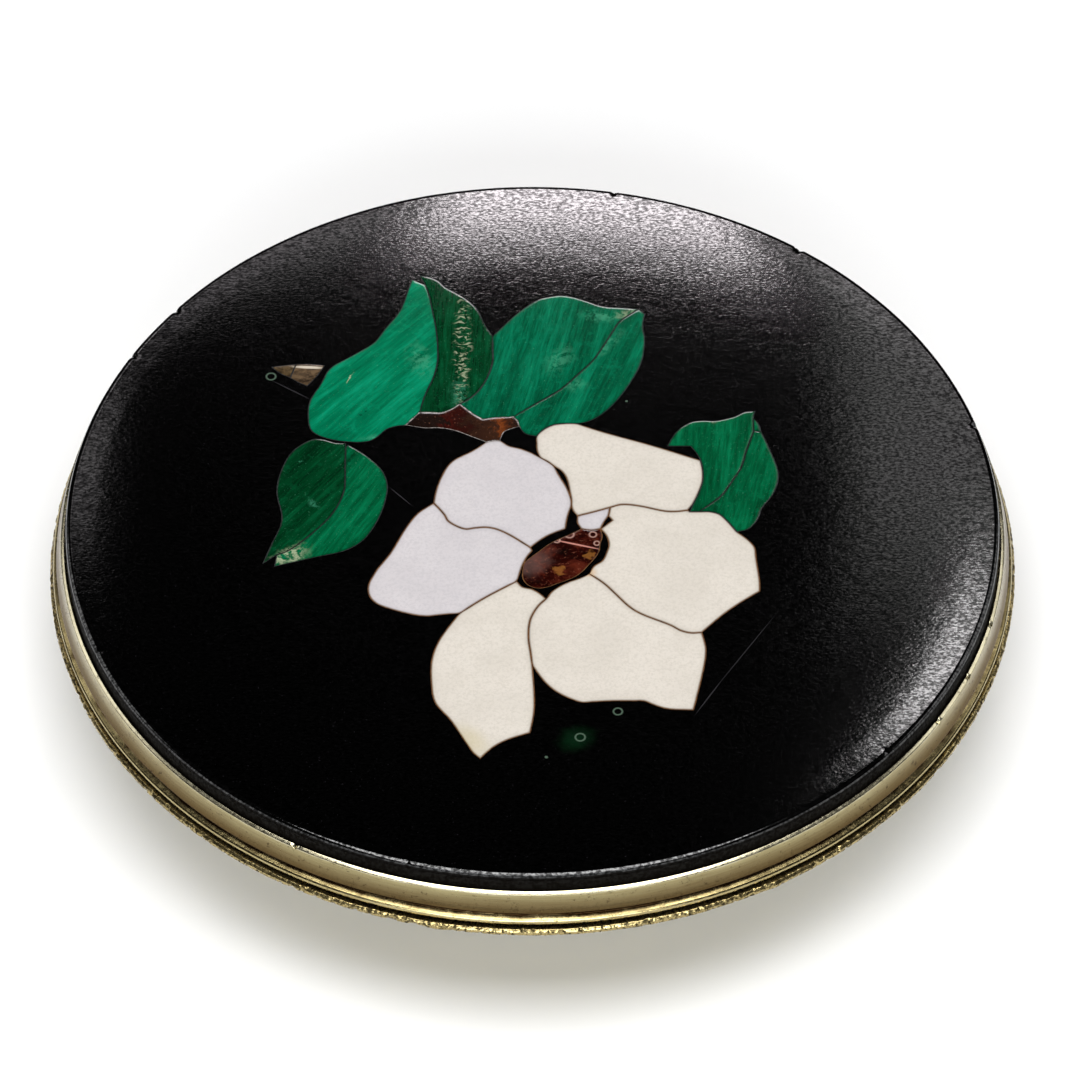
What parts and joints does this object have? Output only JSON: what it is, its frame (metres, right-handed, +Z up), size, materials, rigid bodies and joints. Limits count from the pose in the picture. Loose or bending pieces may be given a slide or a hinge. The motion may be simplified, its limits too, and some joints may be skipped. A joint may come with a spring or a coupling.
{
  "type": "pill box",
  "caption": "Round hinged pill box: a black marble lid plaque inlaid with a white flower and green leaves, in a gilt metal bezel over a shallow dished metal base.",
  "frame": {"origin": "on the ground, at the middle of the flat foot and below the middle of the stone plaque", "axes": "+Z up through the lid, +Y towards the hinge, -Y is the opening side, X across; the inlaid picture's top points to +Y"},
  "size_m": [0.05, 0.0513, 0.011],
  "materials": {
    "gilt_inside": "bright gilt, lightly worn",
    "gilt_worn": "pale worn gilding with brown tarnish in the hollows",
    "pin": "plain",
    "black_marble": "honed, fine glinting speckle",
    "slate": "sawn",
    "malachite_light": "polished, fine straight bands",
    "malachite": "polished, fine straight bands",
    "white_cool": "honed, sugary grain",
    "white_warm": "honed, sugary grain",
    "jasper": "polished, mottled",
    "chalcedony": "polished, mottled"
  },
  "bodies": {
    "base": {"base_bowl": "gilt_inside", "base_flange": "gilt_inside", "base_rim": "gilt_worn", "base_hinge_leaf": "gilt_worn", "hinge_pin": "pin"},
    "lid": {"bezel_ring": "gilt_worn", "marble_slab": "black_marble", "backing_disc": "slate", "lid_liner": "gilt_inside", "lid_hinge_leaf": "gilt_worn", "leaf_a_left": "malachite_light", "leaf_a_right": "malachite", "leaf_b_upper": "malachite", "leaf_b_lower": "malachite", "leaf_c_left": "malachite", "leaf_c_right": "malachite", "leaf_c_tip": "malachite", "leaf_d_left": "malachite", "leaf_d_right": "malachite", "branch": "jasper", "twig_tip": "chalcedony", "twig_end": "chalcedony", "petal_top": "white_warm", "petal_upper_left": "white_cool", "petal_left": "white_cool", "petal_lower_left": "white_warm", "petal_lower_right": "white_warm", "petal_right": "white_warm", "petal_sliver": "white_cool", "jasper_centre": "jasper"}
  },
  "joints": [
    {"name": "lid_hinge", "type": "hinge", "parent": "base", "child": "lid", "pos_m": [0, 0.0257, 0.0078], "axis": [-1, 0, 0], "range_deg": [0, 100]}
  ]
}
